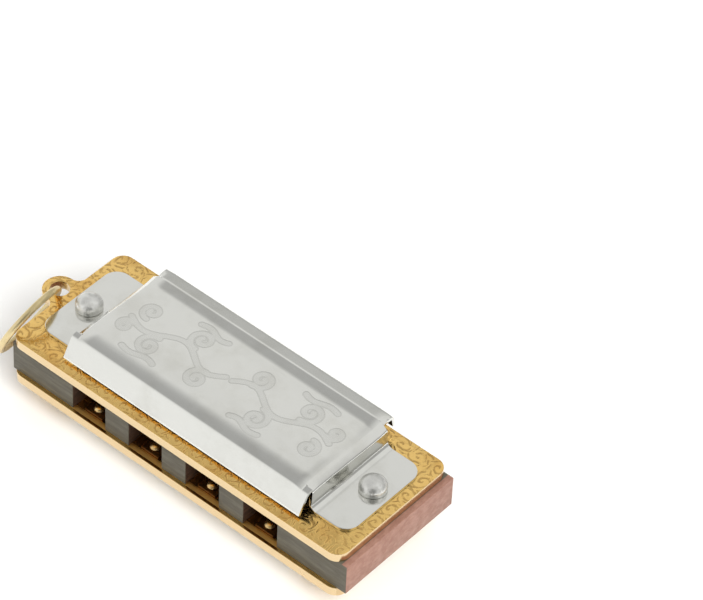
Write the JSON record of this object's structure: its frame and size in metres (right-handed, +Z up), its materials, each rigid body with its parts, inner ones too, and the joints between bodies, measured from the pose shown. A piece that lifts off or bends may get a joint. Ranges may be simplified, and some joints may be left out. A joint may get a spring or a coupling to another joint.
{
  "type": "miniature harmonica",
  "caption": "Pocket-charm mouth organ: slotted wooden comb between brass reed plates, stamped bright covers nailed on, and a loose jump ring through a pierced ear.",
  "frame": {"origin": "middle of the flat face of the lower cover, on which the instrument lies", "axes": "+X along the instrument away from the ring end, -Y towards the player's mouth, +Z up through the upper cover"},
  "size_m": [0.0376, 0.0135, 0.0093],
  "materials": {
    "cover_metal": "bright plated, lightly worn",
    "plate_brass": "satin brass, shallow engraved border",
    "reed_brass": "filed satin brass",
    "rivet_brass": "pressed brass",
    "comb_wood": "sealed dark wood, bare reddish end grain",
    "nail_steel": "plated, slightly pitted",
    "ring_brass": "pale polished brass wire"
  },
  "bodies": {
    "instrument": {"comb": "comb_wood", "lower_reed_plate": "plate_brass", "upper_reed_plate": "plate_brass", "lower_cover": "cover_metal", "upper_cover": "cover_metal", "upper_nail_left": "nail_steel", "lower_nail_left": "nail_steel", "upper_nail_right": "nail_steel", "lower_nail_right": "nail_steel", "blow_reed_1_pad": "reed_brass", "blow_rivet_1": "rivet_brass", "blow_reed_2_pad": "reed_brass", "blow_rivet_2": "rivet_brass", "blow_reed_3_pad": "reed_brass", "blow_rivet_3": "rivet_brass", "blow_reed_4_pad": "reed_brass", "blow_rivet_4": "rivet_brass", "draw_reed_1_pad": "reed_brass", "draw_rivet_1": "rivet_brass", "draw_reed_2_pad": "reed_brass", "draw_rivet_2": "rivet_brass", "draw_reed_3_pad": "reed_brass", "draw_rivet_3": "rivet_brass", "draw_reed_4_pad": "reed_brass", "draw_rivet_4": "rivet_brass"},
    "blow_reed_1": {"blow_reed_1_tongue": "reed_brass"},
    "blow_reed_2": {"blow_reed_2_tongue": "reed_brass"},
    "blow_reed_3": {"blow_reed_3_tongue": "reed_brass"},
    "blow_reed_4": {"blow_reed_4_tongue": "reed_brass"},
    "draw_reed_1": {"draw_reed_1_tongue": "reed_brass"},
    "draw_reed_2": {"draw_reed_2_tongue": "reed_brass"},
    "draw_reed_3": {"draw_reed_3_tongue": "reed_brass"},
    "draw_reed_4": {"draw_reed_4_tongue": "reed_brass"},
    "ring": {"jump_ring": "ring_brass"}
  },
  "joints": [
    {"name": "blow_reed_1_flex", "type": "hinge", "parent": "instrument", "child": "blow_reed_1", "pos_m": [-0.009, -0.00415, 0.00326], "axis": [1, 0, 0], "range_deg": [-5, 5], "stiffness_Nm_per_rad": 0.002},
    {"name": "blow_reed_2_flex", "type": "hinge", "parent": "instrument", "child": "blow_reed_2", "pos_m": [-0.003, -0.00415, 0.00326], "axis": [1, 0, 0], "range_deg": [-5, 5], "stiffness_Nm_per_rad": 0.002},
    {"name": "blow_reed_3_flex", "type": "hinge", "parent": "instrument", "child": "blow_reed_3", "pos_m": [0.003, -0.00415, 0.00326], "axis": [1, 0, 0], "range_deg": [-5, 5], "stiffness_Nm_per_rad": 0.002},
    {"name": "blow_reed_4_flex", "type": "hinge", "parent": "instrument", "child": "blow_reed_4", "pos_m": [0.009, -0.00415, 0.00326], "axis": [1, 0, 0], "range_deg": [-5, 5], "stiffness_Nm_per_rad": 0.002},
    {"name": "draw_reed_1_flex", "type": "hinge", "parent": "instrument", "child": "draw_reed_1", "pos_m": [-0.009, 0.004, 0.00713], "axis": [-1, 0, 0], "range_deg": [-5, 5], "stiffness_Nm_per_rad": 0.002},
    {"name": "draw_reed_2_flex", "type": "hinge", "parent": "instrument", "child": "draw_reed_2", "pos_m": [-0.003, 0.004, 0.00713], "axis": [-1, 0, 0], "range_deg": [-5, 5], "stiffness_Nm_per_rad": 0.002},
    {"name": "draw_reed_3_flex", "type": "hinge", "parent": "instrument", "child": "draw_reed_3", "pos_m": [0.003, 0.004, 0.00713], "axis": [-1, 0, 0], "range_deg": [-5, 5], "stiffness_Nm_per_rad": 0.002},
    {"name": "draw_reed_4_flex", "type": "hinge", "parent": "instrument", "child": "draw_reed_4", "pos_m": [0.009, 0.004, 0.00713], "axis": [-1, 0, 0], "range_deg": [-5, 5], "stiffness_Nm_per_rad": 0.002},
    {"name": "ring_swivel", "type": "hinge", "parent": "instrument", "child": "ring", "pos_m": [-0.01798, 0, 0.0066], "axis": [0, 0, 1], "range_deg": [-80, 0]}
  ]
}
